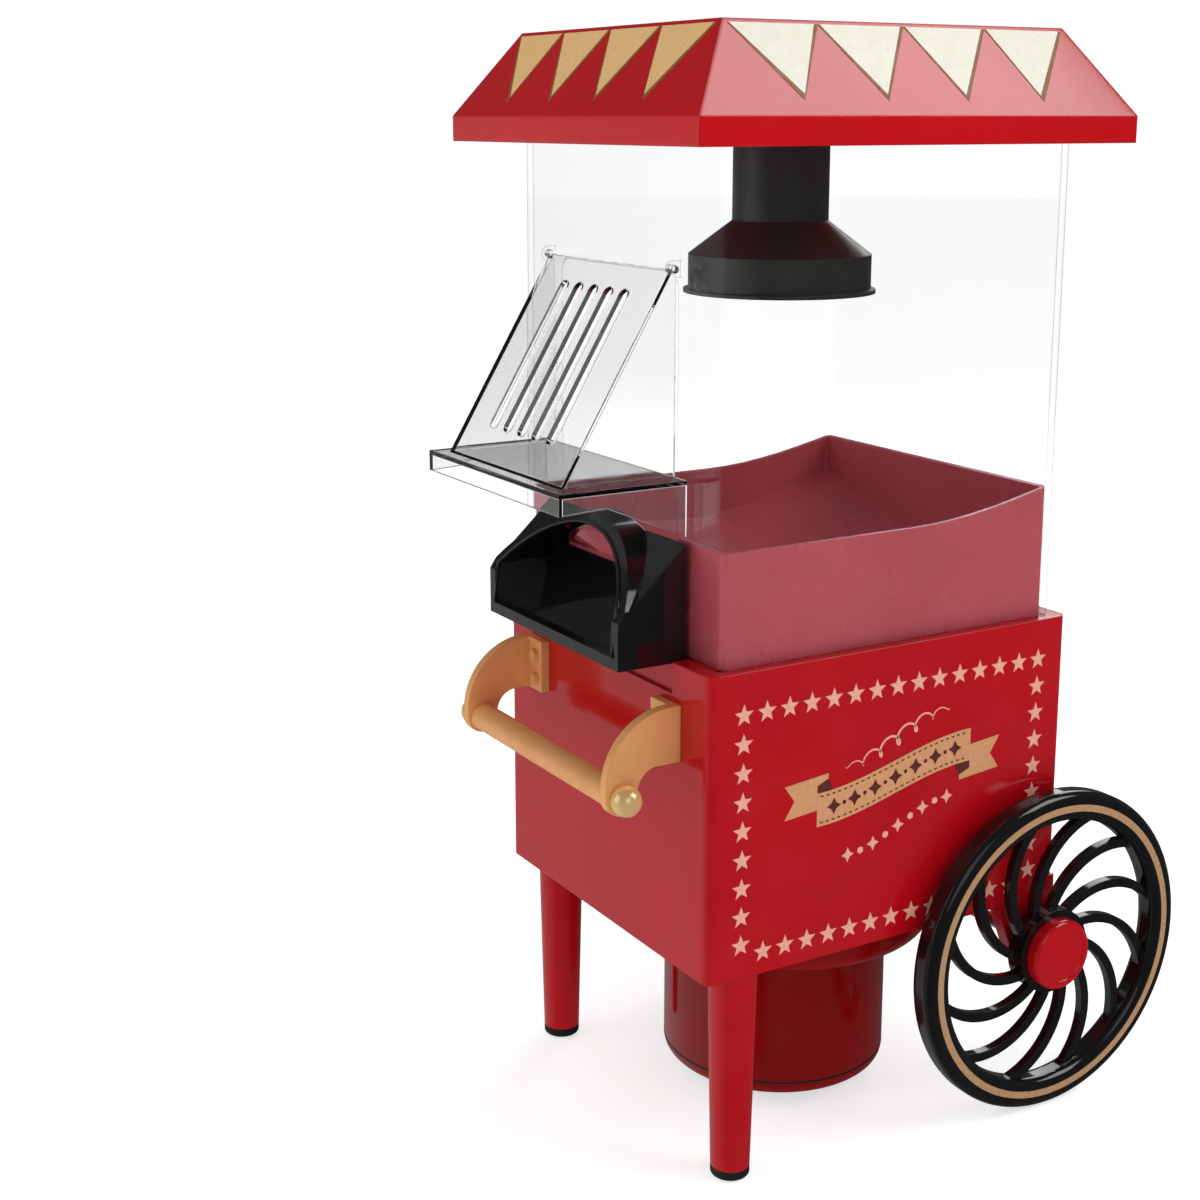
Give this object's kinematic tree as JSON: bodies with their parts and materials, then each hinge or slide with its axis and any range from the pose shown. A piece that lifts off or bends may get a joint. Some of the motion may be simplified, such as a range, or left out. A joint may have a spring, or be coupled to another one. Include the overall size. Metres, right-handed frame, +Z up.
{
  "type": "popcorn maker",
  "caption": "Hot-air popcorn maker shaped as a two-wheeled street cart with a clear popping chamber, hinged hood, lift-off roof, front chute and push handle.",
  "frame": {"origin": "on the floor, midway between the machine's sides and midway between the hood's front edge and the wheels' backs", "axes": "+Z up, -Y the front where the chute and handle are, +X to the right of someone looking at the front, the side of the nodes named right"},
  "size_m": [0.19, 0.2746, 0.432],
  "materials": {
    "red": "high gloss",
    "black_gloss": "gloss",
    "black_matte": "satin",
    "rubber": "matte",
    "clear": "clear plastic",
    "gold": "satin copper-gold paint",
    "kettle_grey": "matte dark grey",
    "steel": "bare",
    "cup_alloy": "bare",
    "mica": "mica sheet",
    "coil": "heat-stained wire",
    "ceramic": "phenolic",
    "fan_white": "moulded",
    "board": "circuit board"
  },
  "bodies": {
    "cart": {"body_shell": "red", "under_pan": "red", "base_housing": "red", "intake_grille": "black_matte", "leg_left": "red", "leg_right": "red", "foot_tip_left": "rubber", "foot_tip_right": "rubber", "axle": "steel", "axle_spacers": "black_matte", "axle_clips": "steel", "chute": "black_gloss", "hopper": "red", "handle_bracket_left": "gold", "handle_bracket_right": "gold", "handle_bar": "gold", "handle_balls": "gold", "handle_screws": "gold", "popping_cup": "cup_alloy", "heater_duct": "steel", "mica_frame": "mica", "heater_coil": "coil", "thermostat": "ceramic", "thermal_fuse": "steel", "fan_shroud": "black_matte", "motor": "steel", "motor_plate": "black_matte", "motor_screws": "steel", "rectifier_board": "board", "switch_housing": "black_matte", "cord_gland": "black_matte", "pan_screws": "steel", "base_screws": "steel", "leg_screws": "steel"},
    "wheel_left_body": {"wheel_left": "black_gloss", "hub_cap_left": "red"},
    "wheel_right_body": {"wheel_right": "black_gloss", "hub_cap_right": "red"},
    "chamber_body": {"chamber": "clear"},
    "hood_body": {"hood": "clear"},
    "roof_body": {"roof": "red", "kettle": "kettle_grey"},
    "cup_body": {"measuring_cup": "black_matte"},
    "fan_body": {"fan": "fan_white", "motor_shaft": "steel"},
    "rocker_body": {"switch_rocker": "red"}
  },
  "joints": [
    {"name": "wheel_left_spin", "type": "hinge", "parent": "cart", "child": "wheel_left_body", "pos_m": [0, 0.07025, 0.067], "axis": [1, 0, 0], "continuous": true},
    {"name": "wheel_right_spin", "type": "hinge", "parent": "cart", "child": "wheel_right_body", "pos_m": [0, 0.07025, 0.067], "axis": [1, 0, 0], "continuous": true},
    {"name": "chamber_lift", "type": "slide", "parent": "cart", "child": "chamber_body", "axis": [0, 0, 1], "range_m": [0, 0.06]},
    {"name": "roof_lift", "type": "slide", "parent": "chamber_body", "child": "roof_body", "axis": [0, 0, 1], "range_m": [0, 0.08]},
    {"name": "cup_lift", "type": "slide", "parent": "roof_body", "child": "cup_body", "axis": [0, 0, 1], "range_m": [0, 0.045]},
    {"name": "hood_swing", "type": "hinge", "parent": "chamber_body", "child": "hood_body", "pos_m": [0, -0.08685, 0.345], "axis": [-1, 0, 0], "range_deg": [0, 50]},
    {"name": "fan_spin", "type": "hinge", "parent": "cart", "child": "fan_body", "pos_m": [0, -0.00425, 0.078], "axis": [0, 0, 1], "continuous": true},
    {"name": "switch_rock", "type": "hinge", "parent": "cart", "child": "rocker_body", "pos_m": [-0.038, 0.07965, 0.135], "axis": [1, 0, 0], "range_deg": [0, 16]}
  ]
}
